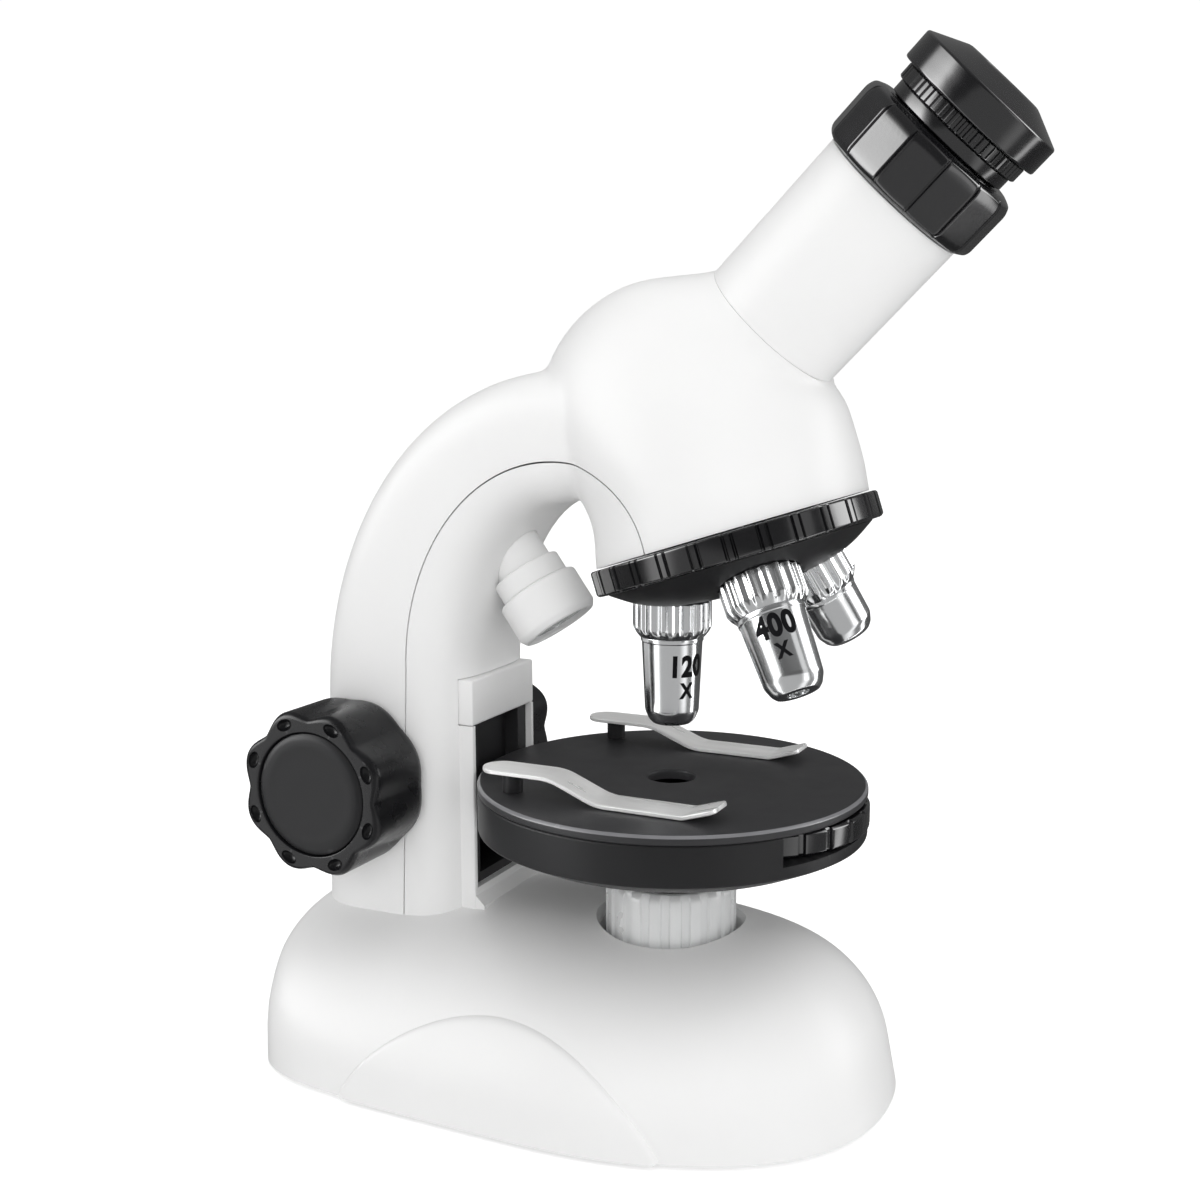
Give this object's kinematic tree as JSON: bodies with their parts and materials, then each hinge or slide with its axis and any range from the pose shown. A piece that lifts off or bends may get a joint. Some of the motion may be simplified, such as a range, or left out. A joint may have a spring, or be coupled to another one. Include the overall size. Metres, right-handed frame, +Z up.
{
  "type": "toy microscope",
  "caption": "White toy microscope with a curved arm, angled eyepiece, turning objective turret, round black stage with clips and a hollow lamp base.",
  "frame": {"origin": "point on the table directly under the lens axis", "axes": "+Z up along the lens axis, +X towards the eyepiece side, +Y to the far side"},
  "size_m": [0.155, 0.0884, 0.2052],
  "materials": {
    "white_shell": "satin white moulded plastic",
    "plate_plastic": "fine matte texture",
    "black_gloss": "glossy black",
    "black_satin": "satin black",
    "chrome": "polished",
    "clip_steel": "brushed",
    "steel": "turned",
    "rubber": "matte",
    "cell": "printed sleeve",
    "board": "solder mask",
    "nylon": "natural nylon",
    "lens": "polished",
    "diffuser": "translucent",
    "mirror": "first-surface",
    "filters": "coloured film",
    "inner_grey": "moulded"
  },
  "bodies": {
    "stand": {"base_shell": "white_shell", "base_plate": "plate_plastic", "rubber_feet": "rubber", "side_panel_near": "white_shell", "side_panel_far": "white_shell", "battery_cells": "cell", "battery_contacts": "steel", "battery_door": "plate_plastic", "base_screws": "steel", "circuit_board": "board", "switch_housing": "black_satin", "arm_shell": "white_shell", "arch_frame": "white_shell", "slide_channel": "black_satin", "stop_bracket": "white_shell", "shaft_bushes": "nylon", "head_plate": "inner_grey", "head_mirror": "mirror", "mirror_holder": "inner_grey", "turret_pivot": "steel", "illuminator_housing": "diffuser", "illuminator_lens": "lens", "illuminator_led": "diffuser", "lamp_stem": "white_shell", "lamp_ring": "white_shell", "lamp_cap": "white_shell", "lamp_lens": "lens", "lamp_led": "diffuser", "eyepiece_tube": "white_shell"},
    "switch": {"switch_button": "black_gloss"},
    "focus": {"focus_shaft": "steel", "focus_pinion": "nylon", "knob_near": "black_gloss", "knob_far": "black_gloss", "knob_cap_near": "black_gloss", "knob_cap_far": "black_gloss"},
    "stage": {"stage_plate": "black_satin", "stage_body": "black_satin", "stage_carriage": "black_satin", "wheel_pivot": "steel"},
    "wheel": {"filter_wheel": "black_satin", "wheel_filters": "filters"},
    "clip_near": {"clip_near": "clip_steel", "clip_post_near": "black_satin"},
    "clip_far": {"clip_far": "clip_steel", "clip_post_far": "black_satin"},
    "turret": {"turret_ring": "black_gloss", "turret_body": "black_satin", "objective_120x": "chrome", "objective_400x": "chrome", "objective_1200x": "chrome", "objective_rings": "chrome", "objective_lenses": "lens"},
    "zoom": {"zoom_ring": "black_gloss"},
    "eyepiece": {"eyepiece_barrel": "black_gloss", "eyecup": "black_satin", "eye_lens": "lens", "field_lens": "lens"}
  },
  "joints": [
    {"name": "focus_turn", "type": "hinge", "parent": "stand", "child": "focus", "pos_m": [-0.0644, 0, 0.0611], "axis": [0, -1, 0], "range_deg": [-57.3, 76.4]},
    {"name": "stage_slide", "type": "slide", "parent": "stand", "child": "stage", "axis": [0, 0, 1], "range_m": [-0.006, 0.008]},
    {"name": "wheel_turn", "type": "hinge", "parent": "stage", "child": "wheel", "pos_m": [0.014, 0, 0.0588], "axis": [0, 0, 1], "continuous": true},
    {"name": "clip_near_swing", "type": "hinge", "parent": "stage", "child": "clip_near", "pos_m": [-0.024, -0.024, 0.0636], "axis": [0, 0, 1], "range_deg": [-30, 20]},
    {"name": "clip_far_swing", "type": "hinge", "parent": "stage", "child": "clip_far", "pos_m": [-0.024, 0.024, 0.0636], "axis": [0, 0, 1], "range_deg": [-20, 30]},
    {"name": "turret_turn", "type": "hinge", "parent": "stand", "child": "turret", "pos_m": [0.0126, 0, 0.1151], "axis": [-0.3074, 0, 0.9516], "continuous": true},
    {"name": "zoom_turn", "type": "hinge", "parent": "stand", "child": "zoom", "pos_m": [0.0173, 0, 0.1512], "axis": [0.7046, 0, 0.7096], "range_deg": [0, 120]},
    {"name": "eyepiece_slide", "type": "slide", "parent": "stand", "child": "eyepiece", "axis": [0.7046, 0, 0.7096], "range_m": [0, 0.008]},
    {"name": "switch_slide", "type": "slide", "parent": "stand", "child": "switch", "axis": [0, 1, 0], "range_m": [-0.003, 0.003]}
  ],
  "couplings": [
    {"joint": "focus_turn", "follows": "stage_slide", "rad_per_m": 166.67},
    {"joint": "zoom_turn", "follows": "eyepiece_slide", "rad_per_m": 261.79}
  ]
}
